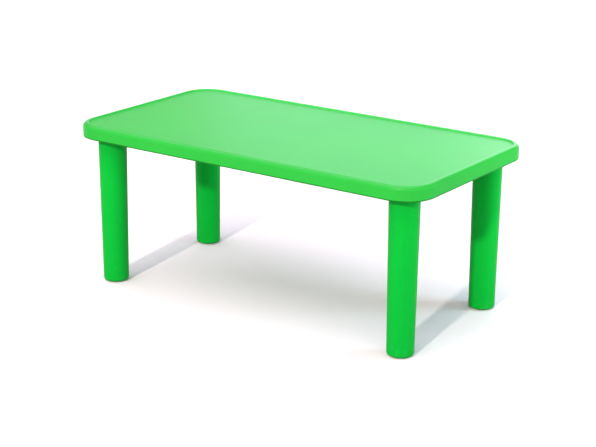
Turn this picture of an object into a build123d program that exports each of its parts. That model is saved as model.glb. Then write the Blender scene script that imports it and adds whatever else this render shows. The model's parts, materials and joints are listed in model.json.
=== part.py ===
# A child's plastic table: one moulded top, stiffened by two steel tubes, on four hollow legs
# that push up into sockets under its corners.
# Millimetres. The table stands on z = 0 with its centre over the origin, its long side along X
# and its front towards -Y.
from build123d import *
import os

# Whole table
TABLE_LENGTH = 1200.0
TABLE_WIDTH = 630.0
TABLE_HEIGHT = 500.0

# Moulded top: outline, edge, raised rim and walls
CORNER_RADIUS = 88.0
EDGE_DEPTH = 42.0
EDGE_ROUND = 12.0
LOWER_EDGE_ROUND = 2.2
SKIRT_WALL = 5.0
PLATE_THICKNESS = 3.5
UNDERSIDE_ROUND = 5.0
RIM_WIDTH = 17.0
RIM_HEIGHT = 4.0
RIM_CREST_ROUND = 2.4
RIM_FOOT_ROUND = 1.4

# Rib grid under the top
RIB_THICKNESS = 2.5
RIB_RECESS = 3.0
CROSS_RIB_COUNT = 10
LONG_RIB_COUNT = 5

# Legs
LEG_INSET = 87.0
LEG_TOP_RADIUS = 43.0
LEG_FOOT_RADIUS = 38.5
LEG_WALL = 3.5
LEG_SHOULDER_ROUND = 2.5
LEG_FOOT_ROUND = 8.0
LEG_FLOOR = 6.0

# Push-fit joint between a leg's neck and its socket
NECK_RADIUS = 36.0
NECK_LEAD_IN = 2.0
NECK_END_GAP = 2.0
SOCKET_WALL = 6.0
SOCKET_RECESS = 2.0
SOCKET_LEAD_IN = 1.0
KEY_COUNT = 4
KEY_WIDTH = 8.0
KEY_HEIGHT = 2.2
KEY_ROOT = 1.5
FIT_CLEARANCE = 0.3

# Rubber foot pads
PAD_RADIUS = 28.0
PAD_PROUD = 2.0
PAD_SEAT_DEPTH = 2.5
PAD_EDGE_ROUND = 0.8
STEM_RADIUS = 4.0
STEM_BARB_RADIUS = 5.5
STEM_BARB_LENGTH = 6.0
PAD_CLEARANCE = 0.1

# Steel stiffener tubes and their end plugs
TUBE_RADIUS = 9.5
TUBE_WALL = 1.5
TUBE_PAST_LAST_RIB = 20.0
TUBE_CLEARANCE = 0.2
RIB_ABOVE_TUBE = 4.5
PLUG_FLANGE = 3.0
PLUG_FLANGE_ROUND = 1.5
PLUG_DEPTH = 14.0
PLUG_WALL = 2.0
PLUG_CLEARANCE = 0.05

# Straps that hold the tubes, with their screws and moulded bosses
STRAP_THICKNESS = 1.5
STRAP_WIDTH = 16.0
STRAP_SEAT_DROP = 6.0
STRAP_END_MARGIN = 7.0
STRAP_CORNER_ROUND = 3.0
STRAP_BAY_STEP = 3
SCREW_RADIUS = 2.0
SCREW_LENGTH = 14.0
SCREW_HEAD_RADIUS = 3.8
SCREW_HEAD_HEIGHT = 2.6
SCREW_HEAD_ROUND = 1.2
SCREW_RECESS_WIDTH = 1.0
SCREW_RECESS_DEPTH = 1.2
SCREW_CLEARANCE = 0.05
SCREW_TO_ARCH = 1.5
BOSS_WALL = 3.2
BOSS_FLOOR = 2.0

# Levels above the floor
SKIRT_BOTTOM = TABLE_HEIGHT - EDGE_DEPTH
PLAY_LEVEL = TABLE_HEIGHT - RIM_HEIGHT
PLATE_BOTTOM = PLAY_LEVEL - PLATE_THICKNESS
SOCKET_MOUTH = SKIRT_BOTTOM + SOCKET_RECESS
SOCKET_DEPTH = PLATE_BOTTOM - SOCKET_MOUTH
NECK_LENGTH = SOCKET_DEPTH - NECK_END_GAP
TUBE_LEVEL = PLATE_BOTTOM - RIB_ABOVE_TUBE - TUBE_CLEARANCE - TUBE_RADIUS
STRAP_SEAT = TUBE_LEVEL - STRAP_SEAT_DROP
BOSS_DEPTH = PLATE_BOTTOM - STRAP_SEAT

# Places in plan
LEG_X = TABLE_LENGTH / 2 - LEG_INSET
LEG_Y = TABLE_WIDTH / 2 - LEG_INSET
SOCKET_RADIUS = NECK_RADIUS + FIT_CLEARANCE
CROSS_RIB_PITCH = 2 * LEG_X / (CROSS_RIB_COUNT - 1)
LONG_RIB_PITCH = 2 * LEG_Y / (LONG_RIB_COUNT - 1)
TUBE_Y = LEG_Y - LONG_RIB_PITCH / 2
TUBE_LENGTH = 2 * (LEG_X + TUBE_PAST_LAST_RIB)
STRAP_STEP = STRAP_BAY_STEP * CROSS_RIB_PITCH
STRAP_ARCH_RADIUS = TUBE_RADIUS + TUBE_CLEARANCE
SCREW_OFFSET = STRAP_ARCH_RADIUS + STRAP_THICKNESS + SCREW_TO_ARCH + SCREW_HEAD_RADIUS
BOSS_RADIUS = SCREW_RADIUS + SCREW_CLEARANCE + BOSS_WALL

CORNERS = {
    "front_left": (-LEG_X, -LEG_Y),
    "front_right": (LEG_X, -LEG_Y),
    "back_left": (-LEG_X, LEG_Y),
    "back_right": (LEG_X, LEG_Y),
}
LONG_SIDES = {"front": -TUBE_Y, "back": TUBE_Y}
TUBE_ENDS = {"left": -1, "right": 1}
STRAP_PLACES = {"left": -STRAP_STEP, "middle": 0.0, "right": STRAP_STEP}


def save(piece, name):
    """Label a finished piece and write its file."""
    piece.part.label = name
    export_step(piece.part, f"parts/{name}.step")


def inset_outline(inset, mode=Mode.ADD):
    """Outline of the top, drawn in by an inset, with its corners kept concentric."""
    RectangleRounded(
        TABLE_LENGTH - 2 * inset, TABLE_WIDTH - 2 * inset, CORNER_RADIUS - inset, mode=mode
    )


def upright_plane(x, y):
    """Upright plane through a point on the floor: local X runs outwards, local Y runs up."""
    return Plane(origin=(x, y, 0), x_dir=(1, 0, 0), z_dir=(0, -1, 0))


def upright_axis(x, y):
    """Vertical axis through a point on the floor."""
    return Axis((x, y, 0), (0, 0, 1))


def make_tabletop():
    """One moulding: skirt, rimmed play surface, rib grid, leg sockets and strap bosses."""
    with BuildPart() as tabletop:
        # Slab with its soft upper edge
        with BuildSketch(Plane.XY.offset(SKIRT_BOTTOM)):
            inset_outline(0)
        extrude(amount=EDGE_DEPTH)
        fillet(tabletop.edges().group_by(Axis.Z)[-1], radius=EDGE_ROUND)

        # Hollow underside
        with BuildSketch(Plane.XY.offset(SKIRT_BOTTOM)):
            inset_outline(SKIRT_WALL)
        extrude(amount=PLATE_BOTTOM - SKIRT_BOTTOM, mode=Mode.SUBTRACT)
        fillet(tabletop.edges(Select.LAST).group_by(Axis.Z)[-1], radius=UNDERSIDE_ROUND)
        fillet(tabletop.edges().group_by(Axis.Z)[0], radius=LOWER_EDGE_ROUND)

        # Play surface, sunk inside the raised rim
        with BuildSketch(Plane.XY.offset(PLAY_LEVEL)):
            inset_outline(RIM_WIDTH)
        extrude(amount=RIM_HEIGHT, mode=Mode.SUBTRACT)
        fillet(tabletop.edges(Select.LAST).group_by(Axis.Z)[-1], radius=RIM_CREST_ROUND)
        play_surface = tabletop.faces().filter_by(Plane.XY).sort_by(Axis.Z)[-2]
        fillet(play_surface.edges(), radius=RIM_FOOT_ROUND)

        # Rib grid
        with BuildSketch(Plane.XY.offset(PLATE_BOTTOM)):
            with GridLocations(CROSS_RIB_PITCH, 0, CROSS_RIB_COUNT, 1):
                Rectangle(RIB_THICKNESS, TABLE_WIDTH)
            with GridLocations(0, LONG_RIB_PITCH, 1, LONG_RIB_COUNT):
                Rectangle(TABLE_LENGTH, RIB_THICKNESS)
            inset_outline(SKIRT_WALL / 2, mode=Mode.INTERSECT)
        extrude(amount=SKIRT_BOTTOM + RIB_RECESS - PLATE_BOTTOM)

        # Leg sockets with keyways
        with BuildSketch(Plane.XY.offset(PLATE_BOTTOM)):
            with GridLocations(2 * LEG_X, 2 * LEG_Y, 2, 2):
                Circle(SOCKET_RADIUS + SOCKET_WALL)
        extrude(amount=-SOCKET_DEPTH)
        with BuildSketch(Plane.XY.offset(PLATE_BOTTOM)):
            with GridLocations(2 * LEG_X, 2 * LEG_Y, 2, 2):
                Circle(SOCKET_RADIUS)
                with PolarLocations(SOCKET_RADIUS - KEY_ROOT, KEY_COUNT):
                    Rectangle(
                        KEY_ROOT + KEY_HEIGHT, KEY_WIDTH + 2 * FIT_CLEARANCE,
                        align=(Align.MIN, Align.CENTER),
                    )
        extrude(amount=-SOCKET_DEPTH, mode=Mode.SUBTRACT)
        chamfer(tabletop.edges(Select.LAST).group_by(Axis.Z)[0], length=SOCKET_LEAD_IN)

        # Screw bosses beside each strap
        with BuildSketch(Plane.XY.offset(PLATE_BOTTOM)):
            with GridLocations(STRAP_STEP, 2 * TUBE_Y, len(STRAP_PLACES), len(LONG_SIDES)):
                with GridLocations(0, 2 * SCREW_OFFSET, 1, 2):
                    Circle(BOSS_RADIUS)
        extrude(amount=-BOSS_DEPTH)
        with BuildSketch(Plane.XY.offset(PLATE_BOTTOM - BOSS_FLOOR)):
            with GridLocations(STRAP_STEP, 2 * TUBE_Y, len(STRAP_PLACES), len(LONG_SIDES)):
                with GridLocations(0, 2 * SCREW_OFFSET, 1, 2):
                    Circle(SCREW_RADIUS + SCREW_CLEARANCE)
        extrude(amount=BOSS_FLOOR - BOSS_DEPTH, mode=Mode.SUBTRACT)

        # Notches where the tubes cross the ribs
        with BuildSketch(Plane.YZ):
            with GridLocations(2 * TUBE_Y, 0, 2, 1):
                with Locations((0, TUBE_LEVEL)):
                    Circle(TUBE_RADIUS + TUBE_CLEARANCE)
                    Rectangle(
                        2 * (TUBE_RADIUS + TUBE_CLEARANCE), TUBE_LEVEL - SKIRT_BOTTOM,
                        align=(Align.CENTER, Align.MAX),
                    )
        extrude(amount=LEG_X + RIB_THICKNESS, both=True, mode=Mode.SUBTRACT)
    return tabletop


def make_leg(x, y):
    """Hollow tapered leg with a stepped neck, keys on the neck and a seat for the foot pad."""
    neck_top = SOCKET_MOUTH + NECK_LENGTH
    with BuildPart() as leg:
        # Outer form, turned about the leg's own axis
        with BuildSketch(upright_plane(x, y)):
            with BuildLine():
                Polyline(
                    (0, PAD_PROUD),
                    (LEG_FOOT_RADIUS, PAD_PROUD),
                    (LEG_TOP_RADIUS, SOCKET_MOUTH),
                    (NECK_RADIUS, SOCKET_MOUTH),
                    (NECK_RADIUS, neck_top),
                    (0, neck_top),
                    close=True,
                )
            make_face()
        revolve(axis=upright_axis(x, y))
        rims = leg.edges().filter_by(GeomType.CIRCLE).group_by(Axis.Z)
        fillet(rims[0], radius=LEG_FOOT_ROUND)
        fillet(rims[1].sort_by(SortBy.RADIUS)[-1], radius=LEG_SHOULDER_ROUND)

        # Keys that stop the leg turning in its socket
        with Locations((x, y, SOCKET_MOUTH)):
            with PolarLocations(NECK_RADIUS - KEY_ROOT, KEY_COUNT):
                Box(
                    KEY_ROOT + KEY_HEIGHT, KEY_WIDTH, NECK_LENGTH,
                    align=(Align.MIN, Align.CENTER, Align.MIN),
                )
        chamfer(leg.edges().group_by(Axis.Z)[-1], length=NECK_LEAD_IN)

        # Hollow inside, closed at the neck
        with BuildSketch(upright_plane(x, y)):
            with BuildLine():
                Polyline(
                    (0, PAD_PROUD + LEG_FLOOR),
                    (LEG_FOOT_RADIUS - LEG_WALL, PAD_PROUD + LEG_FLOOR),
                    (LEG_TOP_RADIUS - LEG_WALL, SOCKET_MOUTH - LEG_WALL),
                    (NECK_RADIUS - LEG_WALL, SOCKET_MOUTH - LEG_WALL),
                    (NECK_RADIUS - LEG_WALL, neck_top - LEG_WALL),
                    (0, neck_top - LEG_WALL),
                    close=True,
                )
            make_face()
        revolve(axis=upright_axis(x, y), mode=Mode.SUBTRACT)

        # Seat and stem hole for the foot pad
        with BuildSketch(Plane.XY.offset(PAD_PROUD)):
            with Locations((x, y)):
                Circle(PAD_RADIUS + PAD_CLEARANCE)
        extrude(amount=PAD_SEAT_DEPTH, mode=Mode.SUBTRACT)
        with BuildSketch(Plane.XY.offset(PAD_PROUD)):
            with Locations((x, y)):
                Circle(STEM_RADIUS + PAD_CLEARANCE)
        extrude(amount=LEG_FLOOR, mode=Mode.SUBTRACT)
    return leg


def make_foot_pad(x, y):
    """Rubber pad under a leg, held by a barbed stem pushed through the leg's floor."""
    seat = PAD_PROUD + PAD_SEAT_DEPTH
    barb_base = PAD_PROUD + LEG_FLOOR
    with BuildPart() as foot_pad:
        with BuildSketch(upright_plane(x, y)):
            with BuildLine():
                Polyline(
                    (0, 0),
                    (PAD_RADIUS, 0),
                    (PAD_RADIUS, seat),
                    (STEM_RADIUS, seat),
                    (STEM_RADIUS, barb_base),
                    (STEM_BARB_RADIUS, barb_base),
                    (STEM_RADIUS, barb_base + STEM_BARB_LENGTH),
                    (0, barb_base + STEM_BARB_LENGTH),
                    close=True,
                )
            make_face()
        revolve(axis=upright_axis(x, y))
        fillet(foot_pad.edges().group_by(Axis.Z)[0], radius=PAD_EDGE_ROUND)
    return foot_pad


def make_stiffener_tube(y):
    """Round steel tube that lies in the rib notches along one long side."""
    with BuildPart() as tube:
        with BuildSketch(Plane.YZ):
            with Locations((y, TUBE_LEVEL)):
                Circle(TUBE_RADIUS)
                Circle(TUBE_RADIUS - TUBE_WALL, mode=Mode.SUBTRACT)
        extrude(amount=TUBE_LENGTH / 2, both=True)
    return tube


def make_tube_plug(y, side):
    """Hollow push-in plug with a flange that covers the tube's cut end."""
    spigot_radius = TUBE_RADIUS - TUBE_WALL - PLUG_CLEARANCE
    tube_end = (side * TUBE_LENGTH / 2, y, TUBE_LEVEL)
    end_plane = Plane(origin=tube_end, x_dir=(0, 1, 0), z_dir=(side, 0, 0))
    with BuildPart() as plug:
        with BuildSketch(end_plane):
            Circle(TUBE_RADIUS)
        extrude(amount=PLUG_FLANGE)
        outer_face = plug.faces().sort_by(Axis((0, 0, 0), end_plane.z_dir))[-1]
        fillet(outer_face.edges(), radius=PLUG_FLANGE_ROUND)
        with BuildSketch(end_plane):
            Circle(spigot_radius)
            Circle(spigot_radius - PLUG_WALL, mode=Mode.SUBTRACT)
        extrude(amount=-PLUG_DEPTH)
    return plug


def make_tube_strap(x, y):
    """Pressed steel strap: two flat feet and an arch that holds the tube up in its notches."""
    half_span = SCREW_OFFSET + STRAP_END_MARGIN
    with BuildPart() as strap:
        with BuildSketch(Plane.YZ.offset(x)):
            with Locations((y, TUBE_LEVEL)):
                Circle(STRAP_ARCH_RADIUS + STRAP_THICKNESS)
            with Locations((y, STRAP_SEAT)):
                Rectangle(
                    2 * half_span, STRAP_THICKNESS, align=(Align.CENTER, Align.MAX)
                )
                Rectangle(
                    2 * half_span, 2 * half_span, align=(Align.CENTER, Align.MIN), mode=Mode.SUBTRACT
                )
            with Locations((y, TUBE_LEVEL)):
                Circle(STRAP_ARCH_RADIUS, mode=Mode.SUBTRACT)
        extrude(amount=STRAP_WIDTH / 2, both=True)
        corner_edges = strap.edges().filter_by(Axis.Z)
        fillet(corner_edges, radius=STRAP_CORNER_ROUND)
        with BuildSketch(Plane.XY.offset(STRAP_SEAT)):
            with Locations((x, y)):
                with GridLocations(0, 2 * SCREW_OFFSET, 1, 2):
                    Circle(SCREW_RADIUS + SCREW_CLEARANCE)
        extrude(amount=-STRAP_THICKNESS, mode=Mode.SUBTRACT)
    return strap


def make_strap_screws():
    """All strap screws: pan heads under the strap feet, shanks up in the bosses."""
    head_seat = STRAP_SEAT - STRAP_THICKNESS
    with BuildPart() as screws:
        for x in STRAP_PLACES.values():
            for tube_y in LONG_SIDES.values():
                for screw_y in (tube_y - SCREW_OFFSET, tube_y + SCREW_OFFSET):
                    with BuildSketch(Plane((x, screw_y, head_seat))):
                        Circle(SCREW_HEAD_RADIUS)
                    extrude(amount=-SCREW_HEAD_HEIGHT)
                    fillet(screws.edges(Select.LAST).group_by(Axis.Z)[0], radius=SCREW_HEAD_ROUND)
                    with BuildSketch(Plane((x, screw_y, head_seat))):
                        Circle(SCREW_RADIUS)
                    extrude(amount=SCREW_LENGTH)
                    with BuildSketch(Plane((x, screw_y, head_seat - SCREW_HEAD_HEIGHT))):
                        Rectangle(SCREW_HEAD_RADIUS, SCREW_RECESS_WIDTH)
                        Rectangle(SCREW_RECESS_WIDTH, SCREW_HEAD_RADIUS)
                    extrude(amount=SCREW_RECESS_DEPTH, mode=Mode.SUBTRACT)
    return screws


os.makedirs("parts", exist_ok=True)

save(make_tabletop(), "tabletop")

for corner, (leg_x, leg_y) in CORNERS.items():
    save(make_leg(leg_x, leg_y), f"leg_{corner}")
    save(make_foot_pad(leg_x, leg_y), f"foot_pad_{corner}")

for side_name, side_y in LONG_SIDES.items():
    save(make_stiffener_tube(side_y), f"stiffener_tube_{side_name}")
    for end_name, end_side in TUBE_ENDS.items():
        save(make_tube_plug(side_y, end_side), f"tube_plug_{side_name}_{end_name}")
    for place_name, place_x in STRAP_PLACES.items():
        save(make_tube_strap(place_x, side_y), f"tube_strap_{side_name}_{place_name}")

save(make_strap_screws(), "strap_screws")
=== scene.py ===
# A child's green plastic table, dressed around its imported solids. Metres, in the solids' own frame:
# the table stands on z = 0 with its long side along X and its front towards -Y.
import json
import math

import bmesh
import bpy
from mathutils import Matrix, Vector


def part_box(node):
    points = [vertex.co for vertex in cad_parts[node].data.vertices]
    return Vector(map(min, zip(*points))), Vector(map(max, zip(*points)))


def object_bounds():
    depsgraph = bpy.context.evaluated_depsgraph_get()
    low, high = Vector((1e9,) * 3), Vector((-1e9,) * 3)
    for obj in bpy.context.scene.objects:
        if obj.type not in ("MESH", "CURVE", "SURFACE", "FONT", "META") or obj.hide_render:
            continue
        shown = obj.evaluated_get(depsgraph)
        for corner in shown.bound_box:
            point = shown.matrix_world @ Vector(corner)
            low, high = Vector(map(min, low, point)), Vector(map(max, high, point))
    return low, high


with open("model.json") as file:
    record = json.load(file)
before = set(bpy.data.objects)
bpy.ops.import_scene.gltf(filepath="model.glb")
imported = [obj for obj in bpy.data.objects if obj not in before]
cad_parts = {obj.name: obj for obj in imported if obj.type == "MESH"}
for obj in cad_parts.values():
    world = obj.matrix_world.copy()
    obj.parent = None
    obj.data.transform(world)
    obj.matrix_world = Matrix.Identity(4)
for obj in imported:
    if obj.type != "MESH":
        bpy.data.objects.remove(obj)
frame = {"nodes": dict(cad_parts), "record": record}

CAD_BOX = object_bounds()

# Camera: turns in degrees, the table's middle in the view, and the lens and its sensor in millimetres
VIEW_AZIMUTH = 35.08
VIEW_ELEVATION = 17.70
VIEW_ROLL = -0.49
VIEW_DISTANCE = 4.604
VIEW_RIGHT = -0.0073
VIEW_DOWN = -0.0303
LENS = 93.6
SENSOR_WIDTH = 36.0

# Studio floor and room light
FLOOR_HALF_SIZE = 60.0
FLOOR_SQUARES = 40
FLOOR_LEVEL_RADIUS = 12.0
FLOOR_FAR_RISE = 16.0
FLOOR_TONE = (0.56, 0.51, 0.48, 1)
FLOOR_ROUGHNESS = 0.9
ROOM_TONE = (0.82, 0.91, 1.0, 1)
ROOM_STRENGTH = 0.24

# Points that the lights are aimed at, and the panels' widths and heights
LEGS_AIM = (0, 0, 0.3)
RIGHT_END_AIM = (0.5, 0.1, 0.3)
TOP_AIM = (0, 0, 0.5)
RIGHT_PANEL_SIZE = (0.9, 0.9)
SHEEN_PANEL_SIZE = (3.0, 4.4)

# Layout read from the frame, with the part's own count of ribs
MOUNT_PLACES = {mount["name"]: Vector(mount["pos_m"]) for mount in frame["record"]["mounts"]}
PLAY_LEVEL = MOUNT_PLACES["play_surface"].z
LEG_X = abs(MOUNT_PLACES["foot_front_right"].x)
LEG_Y = abs(MOUNT_PLACES["foot_front_right"].y)
TOP_LOW, TOP_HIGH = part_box("tabletop")
CROSS_RIB_COUNT = 10
LONG_RIB_COUNT = 5
CROSS_RIB_PITCH = 2 * LEG_X / (CROSS_RIB_COUNT - 1)
LONG_RIB_PITCH = 2 * LEG_Y / (LONG_RIB_COUNT - 1)

# Greens and other base tones, linear
TOP_GREEN = (0.0194, 0.289, 0.0308, 1)
TOP_GREEN_DEEP = (0.0174, 0.265, 0.0281, 1)
# Painted shade for the top's outer rounded edge
TOP_ROUNDING_SHADE = (0.0140, 0.202, 0.0216, 1)
# Painted shadow line along the skirt's foot
TOP_FOOT_SHADE = (0.0040, 0.090, 0.0050, 1)
LEG_GREEN = (0.0022, 0.290, 0.0240, 1)
LEG_GREEN_DEEP = (0.0016, 0.266, 0.0215, 1)
# Painted shade that darkens the legs towards the floor
LEG_SHADE_GREEN = (0.0012, 0.186, 0.0145, 1)
# Pale green for real scuffs, also used as painted light on the rim's inner wall
SCUFF_AND_PAINTED_LIGHT_GREEN = (0.055, 0.350, 0.072, 1)
RUBBER_TONE = (0.030, 0.026, 0.022, 1)
RUBBER_DUST = (0.16, 0.145, 0.125, 1)
ZINC_TONE = (0.62, 0.63, 0.65, 1)
ZINC_DULL = (0.42, 0.43, 0.44, 1)
ZINC_WARM = (0.66, 0.62, 0.50, 1)
PLUG_TONE = (0.018, 0.018, 0.019, 1)
PLUG_WORN = (0.06, 0.06, 0.062, 1)

# Bands over which a finish fades, low and high: heights on the table
UPPER_SIDE_BAND = (PLAY_LEVEL - 0.002, PLAY_LEVEL - 0.001)
RIM_BAND = (PLAY_LEVEL + 0.0005, PLAY_LEVEL + 0.0025)
CREST_BAND = (TOP_HIGH.z - 0.0012, TOP_HIGH.z)
# Height band of the painted shadow line along the skirt's foot
SKIRT_FOOT_SHADE_BAND = (TOP_LOW.z + 0.0022, TOP_LOW.z + 0.0052)
LEG_SCUFF_BAND = (0.006, 0.07)
# Height band of the painted shade on the legs, darker towards the floor
LEG_SHADE_BAND = (-0.05, 0.42)
FOOT_DUST_BAND = (0.0, 0.003)

# The same, as distances from the middle of a line
SINK_LINE_BAND = (0.0, 0.006)
SEAM_BAND = (0.0, 0.0007)

# Unevenness of the upper edge of the painted shadow line along the skirt's foot, and depths of relief
SKIRT_FOOT_SHADE_WAVER = 0.002
SINK_LINE_DEPTH = 0.000012
TOP_WAVE_DEPTH = 0.00012
PLAY_PEBBLE_DEPTH = 0.00004
TOP_PEBBLE_DEPTH = 0.000008
SEAM_DEPTH = 0.00012
DRAW_LINE_DEPTH = 0.00003
LEG_WAVE_DEPTH = 0.00025
LEG_PEBBLE_DEPTH = 0.000012
RUBBER_GRAIN_DEPTH = 0.00006
ZINC_STREAK_DEPTH = 0.00002
PLUG_GRAIN_DEPTH = 0.00003

# How far noise is squeezed along a direction, so that its grains are drawn out, and a scratch's soft edge
SCRATCH_SQUEEZE = 0.04
SCRATCH_EDGE = 0.03
DRAW_LINE_SQUEEZE = 0.03
TUBE_STREAK_SQUEEZE = 0.02
STRAP_STREAK_SQUEEZE = 0.3
SCREW_STREAK_SQUEEZE = 1.0

# Sockets of a Mix node that blends colours
MIX_SHARE = 0
MIX_FIRST = 6
MIX_SECOND = 7
MIX_RESULT = 2


class Value:
    """A shader socket that carries a number. Arithmetic on it adds Math nodes."""

    def __init__(self, finish, socket):
        self.finish = finish
        self.socket = socket

    def math(self, operation, first, second=0.0):
        return self.finish.add("ShaderNodeMath", {"operation": operation}, {0: first, 1: second})

    def __add__(self, other):
        return self.math("ADD", self, other)

    def __radd__(self, other):
        return self.math("ADD", other, self)

    def __sub__(self, other):
        return self.math("SUBTRACT", self, other)

    def __rsub__(self, other):
        return self.math("SUBTRACT", other, self)

    def __mul__(self, other):
        return self.math("MULTIPLY", self, other)

    def __rmul__(self, other):
        return self.math("MULTIPLY", other, self)

    def __abs__(self):
        return self.math("ABSOLUTE", self)

    def pingpong(self, scale):
        """Triangle wave: distance to the nearest multiple of twice the scale."""
        return self.math("PINGPONG", self, scale)


class Finish:
    """One procedural material: a node tree that ends in a single plastic, rubber or metal shader."""

    def __init__(self, name, **constants):
        self.material = bpy.data.materials.new(name)
        self.material.use_nodes = True
        self.tree = self.material.node_tree
        self.tree.nodes.clear()
        numbers = {socket.replace("_", " "): number for socket, number in constants.items()}
        self.shader = self.node("ShaderNodeBsdfPrincipled", inputs=numbers)
        self.node("ShaderNodeOutputMaterial", inputs={"Surface": Value(self, self.shader.outputs["BSDF"])})
        self.place = self.add("ShaderNodeTexCoord", output="Object")

    def node(self, kind, settings=None, inputs=None):
        """Add a node: its settings first, then the numbers, colours or links of its sockets."""
        node = self.tree.nodes.new(kind)
        for name, setting in (settings or {}).items():
            setattr(node, name, setting)
        for name, given in (inputs or {}).items():
            self.feed(node.inputs[name], given)
        return node

    def add(self, kind, settings=None, inputs=None, output=0):
        """Add a node and hand back one of its outputs."""
        return Value(self, self.node(kind, settings, inputs).outputs[output])

    def feed(self, socket, given):
        """Link a value to a socket, or set the socket's own number."""
        if isinstance(given, Value):
            self.tree.links.new(given.socket, socket)
        else:
            socket.default_value = given

    def facing(self):
        """The direction that the surface faces."""
        return self.add("ShaderNodeTexCoord", output="Normal")

    def parts(self, vector):
        """The three numbers of a vector."""
        node = self.node("ShaderNodeSeparateXYZ", inputs={0: vector})
        return [Value(self, socket) for socket in node.outputs]

    def vector(self, x, y, z):
        """A vector from three numbers."""
        return self.add("ShaderNodeCombineXYZ", inputs={0: x, 1: y, 2: z})

    def noise(self, scale, detail=2.0, roughness=0.5, place=None):
        """Soft noise from 0 to 1, with a scale in grains a metre."""
        inputs = {"Vector": place or self.place, "Scale": scale, "Detail": detail, "Roughness": roughness}
        return self.add("ShaderNodeTexNoise", inputs=inputs)

    def cells(self, scale):
        """Distance to the nearest cell point, for a pebbled grain."""
        return self.add("ShaderNodeTexVoronoi", inputs={"Vector": self.place, "Scale": scale})

    def step(self, value, low, high):
        """Smooth step from 0 at low to 1 at high."""
        return self.add(
            "ShaderNodeMapRange",
            {"interpolation_type": "SMOOTHSTEP"},
            {"Value": value, "From Min": low, "From Max": high},
        )

    def mix(self, share, first, second):
        """Blend two colours."""
        return self.add(
            "ShaderNodeMix",
            {"data_type": "RGBA"},
            {MIX_SHARE: share, MIX_FIRST: first, MIX_SECOND: second},
            output=MIX_RESULT,
        )

    def bump(self, height, depth, under=None):
        """Relief of a given depth in metres, laid over another relief."""
        inputs = {"Height": height, "Distance": depth, "Strength": 1.0}
        if under is not None:
            inputs["Normal"] = under
        return self.add("ShaderNodeBump", inputs=inputs)

    def complete(self, colour, roughness, relief, coat=0.0):
        """Feed the shader and hand back the material."""
        self.feed(self.shader.inputs["Base Color"], colour)
        self.feed(self.shader.inputs["Roughness"], roughness)
        self.feed(self.shader.inputs["Normal"], relief)
        self.feed(self.shader.inputs["Coat Weight"], coat)
        return self.material


def scratches(finish, scale, turn, threshold):
    """Sparse thin scratches: noise drawn out along one direction and cut near its crest."""
    turned = finish.add(
        "ShaderNodeMapping",
        inputs={"Vector": finish.place, "Rotation": (0, 0, turn), "Scale": (1, SCRATCH_SQUEEZE, 1)},
    )
    drawn_out = finish.noise(scale, detail=1.0, roughness=0.4, place=turned)
    return finish.step(drawn_out, threshold, threshold + SCRATCH_EDGE)


def mottled_top(finish, clouds, worn_play, z):
    """The top's green: clouded and speckled, with pale scuffs on the play surface and the rim's crest."""
    speckle = finish.noise(scale=420.0, roughness=0.6)
    mottle = finish.step(clouds * 0.7 + speckle * 0.3, 0.3, 0.7)
    green = finish.mix(mottle, TOP_GREEN_DEEP, TOP_GREEN)
    worn_crest = finish.step(z, *CREST_BAND) * finish.step(finish.noise(scale=35.0), 0.45, 0.7)
    return finish.mix(worn_play * 0.22 + worn_crest * 0.06, green, SCUFF_AND_PAINTED_LIGHT_GREEN)


def edged_top(finish, green, upper_side, facing_up):
    """Top green: painted shade on the outer rounding and skirt foot, painted light on the rim's inner wall.
    """
    x, y, z = finish.parts(finish.place)
    facing_x, facing_y, _ = finish.parts(finish.facing())
    outward = x * facing_x + y * facing_y
    # Painted shade on the outer rounded edge, where it faces outwards
    shaded_rounding = finish.step(facing_up, 0.25, 0.60) * (1 - finish.step(facing_up, 0.85, 0.99))
    green = finish.mix(shaded_rounding * finish.step(outward, 0.0, 0.1) * 0.5, green, TOP_ROUNDING_SHADE)
    # Painted light: the rim's inner wall paler, as if lit
    lit_rim_wall = upper_side * (1 - finish.step(outward, -0.15, -0.03))
    green = finish.mix(lit_rim_wall * 0.5, green, SCUFF_AND_PAINTED_LIGHT_GREEN)
    # Painted shadow line along the skirt's lower edge
    uneven_z = z + (finish.noise(scale=40.0) - 0.5) * SKIRT_FOOT_SHADE_WAVER
    painted_shade = 1 - finish.step(uneven_z, *SKIRT_FOOT_SHADE_BAND)
    return finish.mix(painted_shade * 0.85, green, TOP_FOOT_SHADE)


def top_relief(finish, play):
    """Faint sink lines over the ribs, slow waves, and pebbles that are deeper on the play surface."""
    x, y, _ = finish.parts(finish.place)
    cross_sink = finish.step((x + LEG_X).pingpong(CROSS_RIB_PITCH / 2), *SINK_LINE_BAND)
    long_sink = finish.step((y + LEG_Y).pingpong(LONG_RIB_PITCH / 2), *SINK_LINE_BAND)
    relief = finish.bump(cross_sink * long_sink, play * SINK_LINE_DEPTH)
    relief = finish.bump(finish.noise(scale=9.0), TOP_WAVE_DEPTH, relief)
    pebble_depth = play * PLAY_PEBBLE_DEPTH + TOP_PEBBLE_DEPTH
    return finish.bump(finish.cells(scale=900.0), pebble_depth, relief)


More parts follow.
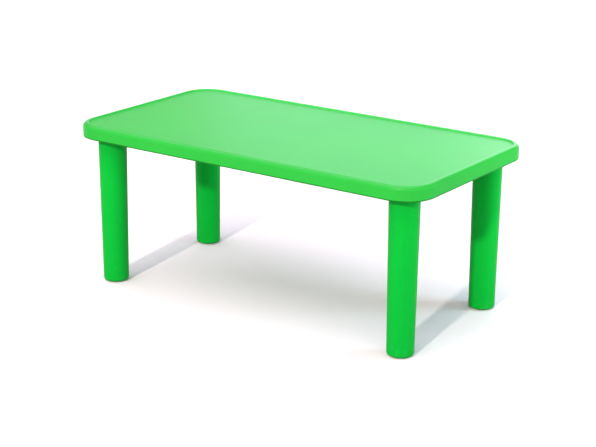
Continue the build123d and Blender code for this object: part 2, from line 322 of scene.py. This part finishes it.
def top_plastic():
    """Satin green moulding: pebbled and scuffed play surface, smoother rim and skirt."""
    finish = Finish("top_plastic", IOR=1.10, Coat_IOR=1.5, Coat_Roughness=0.33)
    _, _, z = finish.parts(finish.place)
    _, _, facing_up = finish.parts(finish.facing())
    upper_side = finish.step(z, *UPPER_SIDE_BAND)
    play = upper_side * (1 - finish.step(z, *RIM_BAND)) * finish.step(facing_up, 0.8, 0.97)
    one_way = scratches(finish, scale=240.0, turn=0.5, threshold=0.70)
    other_way = scratches(finish, scale=280.0, turn=2.2, threshold=0.71)
    worn_play = play * (one_way + other_way)
    clouds = finish.noise(scale=5.0, detail=3.0, roughness=0.55)
    green = mottled_top(finish, clouds, worn_play, z)
    colour = edged_top(finish, green, upper_side, facing_up)
    roughness = 0.31 + play * 0.09 + (clouds - 0.5) * 0.06 + worn_play * 0.10
    sheen = finish.step(facing_up, 0.1, 1.0) * 0.35
    return finish.complete(colour, roughness, top_relief(finish, play), sheen)


def leg_relief(finish, draw, y):
    """A mould seam on each side, upright draw lines, slow waves and a fine pebble."""
    seam = 1 - finish.step(abs(abs(y) - LEG_Y), *SEAM_BAND)
    relief = finish.bump(seam, SEAM_DEPTH)
    relief = finish.bump(draw, DRAW_LINE_DEPTH, relief)
    relief = finish.bump(finish.noise(scale=30.0), LEG_WAVE_DEPTH, relief)
    return finish.bump(finish.cells(scale=700.0), LEG_PEBBLE_DEPTH, relief)


def leg_plastic():
    """Satin green blow moulding with faint draw lines, scuffed at the foot, with painted shade darker
    towards the floor.
    """
    finish = Finish("leg_plastic", IOR=1.09)
    x, y, z = finish.parts(finish.place)
    draw = finish.noise(scale=160.0, place=finish.vector(x, y, z * DRAW_LINE_SQUEEZE))
    clouds = finish.noise(scale=9.0, detail=3.0, roughness=0.55)
    speckle = finish.noise(scale=420.0, roughness=0.6)
    mottle = finish.step(clouds * 0.6 + draw * 0.2 + speckle * 0.2, 0.3, 0.7)
    colour = finish.mix(mottle, LEG_GREEN_DEEP, LEG_GREEN)
    rubs = finish.step(finish.noise(scale=60.0, detail=3.0), 0.5, 0.75)
    scuff = rubs * (1 - finish.step(z, *LEG_SCUFF_BAND))
    colour = finish.mix(scuff * 0.25, colour, SCUFF_AND_PAINTED_LIGHT_GREEN)
    # Painted shade: the legs darker towards the floor
    painted_shade = 1 - finish.step(z, *LEG_SHADE_BAND)
    colour = finish.mix(painted_shade * 0.35, colour, LEG_SHADE_GREEN)
    roughness = 0.30 + (clouds - 0.5) * 0.08 + scuff * 0.15
    return finish.complete(colour, roughness, leg_relief(finish, draw, y))


def foot_rubber():
    """Dark rubber with a fine grain and floor dust on its lower edge."""
    finish = Finish("foot_rubber", IOR=1.52)
    _, _, z = finish.parts(finish.place)
    grain = finish.noise(scale=900.0, detail=3.0, roughness=0.6)
    specks = finish.step(finish.noise(scale=380.0, detail=4.0, roughness=0.65), 0.35, 0.85)
    dust = specks * (1 - finish.step(z, *FOOT_DUST_BAND))
    colour = finish.mix(dust * 0.5 + grain * 0.08, RUBBER_TONE, RUBBER_DUST)
    roughness = 0.72 + (grain - 0.5) * 0.2
    return finish.complete(colour, roughness, finish.bump(grain, RUBBER_GRAIN_DEPTH))


def zinc_steel(name, squeeze):
    """Zinc-plated steel: streaks drawn out along X, dull patches and a faint warm tint."""
    finish = Finish(name, IOR=1.5, Metallic=1.0)
    x, y, z = finish.parts(finish.place)
    drawn_out = finish.vector(x * squeeze, y, z)
    streaks = finish.noise(scale=700.0, detail=3.0, roughness=0.6, place=drawn_out)
    patches = finish.noise(scale=40.0, detail=4.0, roughness=0.6)
    tint = finish.noise(scale=14.0)
    colour = finish.mix(finish.step(patches, 0.35, 0.7), ZINC_TONE, ZINC_DULL)
    colour = finish.mix(finish.step(tint, 0.5, 0.75) * 0.35, colour, ZINC_WARM)
    roughness = 0.30 + patches * 0.18 + (streaks - 0.5) * 0.14
    return finish.complete(colour, roughness, finish.bump(streaks, ZINC_STREAK_DEPTH))


def plug_plastic():
    """Black moulded plastic, greyed where it rubs."""
    finish = Finish("plug_plastic", IOR=1.48)
    grain = finish.noise(scale=1100.0, roughness=0.6)
    rub = finish.step(finish.noise(scale=90.0, detail=3.0), 0.5, 0.75)
    colour = finish.mix(rub * 0.5 + grain * 0.1, PLUG_TONE, PLUG_WORN)
    roughness = 0.45 + rub * 0.12 + (grain - 0.5) * 0.1
    return finish.complete(colour, roughness, finish.bump(grain, PLUG_GRAIN_DEPTH))


def dress_nodes():
    """Give every solid the finish of its material slot."""
    finishes = {
        "top_plastic": top_plastic(),
        "leg_plastic": leg_plastic(),
        "foot_rubber": foot_rubber(),
        "tube_steel": zinc_steel("tube_steel", TUBE_STREAK_SQUEEZE),
        "strap_steel": zinc_steel("strap_steel", STRAP_STREAK_SQUEEZE),
        "screw_steel": zinc_steel("screw_steel", SCREW_STREAK_SQUEEZE),
        "plug_plastic": plug_plastic(),
    }
    for row in frame["record"]["subparts"]:
        node = frame["nodes"][row["node"]]
        node.data.materials.clear()
        node.data.materials.append(finishes[row["material_slot"]])


def floor_tone():
    """Plain matt tone for the studio floor."""
    material = bpy.data.materials.new("floor")
    material.use_nodes = True
    shader = material.node_tree.nodes["Principled BSDF"]
    shader.inputs["Base Color"].default_value = FLOOR_TONE
    shader.inputs["Roughness"].default_value = FLOOR_ROUGHNESS
    return material


def make_floor():
    """Plain pale floor, level round the table. It rises far away, so that no low view ends in a horizon."""
    sweep = bmesh.new()
    bmesh.ops.create_grid(sweep, x_segments=FLOOR_SQUARES, y_segments=FLOOR_SQUARES, size=FLOOR_HALF_SIZE)
    for point in sweep.verts:
        beyond = max(0.0, point.co.xy.length - FLOOR_LEVEL_RADIUS) / FLOOR_HALF_SIZE
        point.co.z = FLOOR_FAR_RISE * beyond ** 2
    mesh = bpy.data.meshes.new("floor")
    sweep.to_mesh(mesh)
    sweep.free()
    mesh.materials.append(floor_tone())
    floor = bpy.data.objects.new("floor", mesh)
    bpy.context.scene.collection.objects.link(floor)


def make_room():
    """Even pale light from all round."""
    world = bpy.data.worlds.new("room")
    world.use_nodes = True
    backdrop = world.node_tree.nodes["Background"]
    backdrop.inputs["Color"].default_value = ROOM_TONE
    backdrop.inputs["Strength"].default_value = ROOM_STRENGTH
    bpy.context.scene.world = world


def place_light(light, place, aim, mirrored=True):
    """Aim a light from its place at a point. The camera doesn't see it, and gloss only if it is mirrored."""
    lamp = bpy.data.objects.new(light.name, light)
    lamp.location = place
    lamp.rotation_euler = (Vector(aim) - Vector(place)).to_track_quat("-Z", "Y").to_euler()
    lamp.visible_camera = False
    lamp.visible_glossy = mirrored
    bpy.context.scene.collection.objects.link(lamp)


def add_sun(name, place, tone, energy, spread):
    """A far light on the legs and top, as wide in the sky as its spread in degrees."""
    sun = bpy.data.lights.new(name, "SUN")
    sun.color = tone
    sun.energy = energy
    sun.angle = math.radians(spread)
    place_light(sun, place, LEGS_AIM)


def add_panel(name, place, aim, size, tone, energy, mirrored=True):
    """A rectangular light panel."""
    panel = bpy.data.lights.new(name, "AREA")
    panel.color = tone
    panel.energy = energy
    panel.shape = "RECTANGLE"
    panel.size, panel.size_y = size
    place_light(panel, place, aim, mirrored)


def make_lights():
    """Broad top light, key and fill from the front, a panel at the right and two sheen panels behind."""
    add_sun("soft_box", (-0.8, -0.4, 4.2), tone=(0.87, 0.83, 1), energy=4.95, spread=76)
    add_sun("key_light", (0.56, -3.96, 2.34), tone=(1, 0.95, 0.97), energy=3.23, spread=3)
    add_sun("front_fill", (1.7, -3.6, 2.6), tone=(0.94, 1, 0.92), energy=2.34, spread=90)
    add_panel(
        "right_panel", (2.0, 1.0, 0.9), RIGHT_END_AIM, RIGHT_PANEL_SIZE,
        tone=(0.50, 0.83, 1), energy=47, mirrored=False,
    )
    add_panel("sheen_middle", (-3.4, 6.2, 2.6), TOP_AIM, SHEEN_PANEL_SIZE, tone=(0.71, 0.83, 1), energy=54)
    add_panel("sheen_right", (-1.2, 6.5, 2.6), TOP_AIM, SHEEN_PANEL_SIZE, tone=(0.87, 0.83, 1), energy=102)


def make_camera():
    """Camera at the photograph's angle, worked out from where the table's middle stands in its view."""
    azimuth = math.radians(VIEW_AZIMUTH)
    elevation = math.radians(VIEW_ELEVATION)
    roll = math.radians(VIEW_ROLL)
    forward = Vector((
        -math.sin(azimuth) * math.cos(elevation),
        math.cos(azimuth) * math.cos(elevation),
        -math.sin(elevation),
    ))
    level_right = Vector((math.cos(azimuth), math.sin(azimuth), 0))
    level_down = forward.cross(level_right)
    right = level_right * math.cos(roll) + level_down * math.sin(roll)
    down = level_down * math.cos(roll) - level_right * math.sin(roll)
    middle = (CAD_BOX[0] + CAD_BOX[1]) / 2
    place = middle - right * VIEW_RIGHT - down * VIEW_DOWN - forward * VIEW_DISTANCE
    turn = Matrix((right, -down, -forward)).transposed().to_4x4()
    data = bpy.data.cameras.new("camera")
    data.sensor_width = SENSOR_WIDTH
    data.lens = LENS
    camera = bpy.data.objects.new("camera", data)
    camera.matrix_world = Matrix.Translation(place) @ turn
    bpy.context.scene.collection.objects.link(camera)
    bpy.context.scene.camera = camera


bpy.context.scene.view_settings.view_transform = "Standard"
dress_nodes()
make_floor()
make_room()
make_lights()
make_camera()
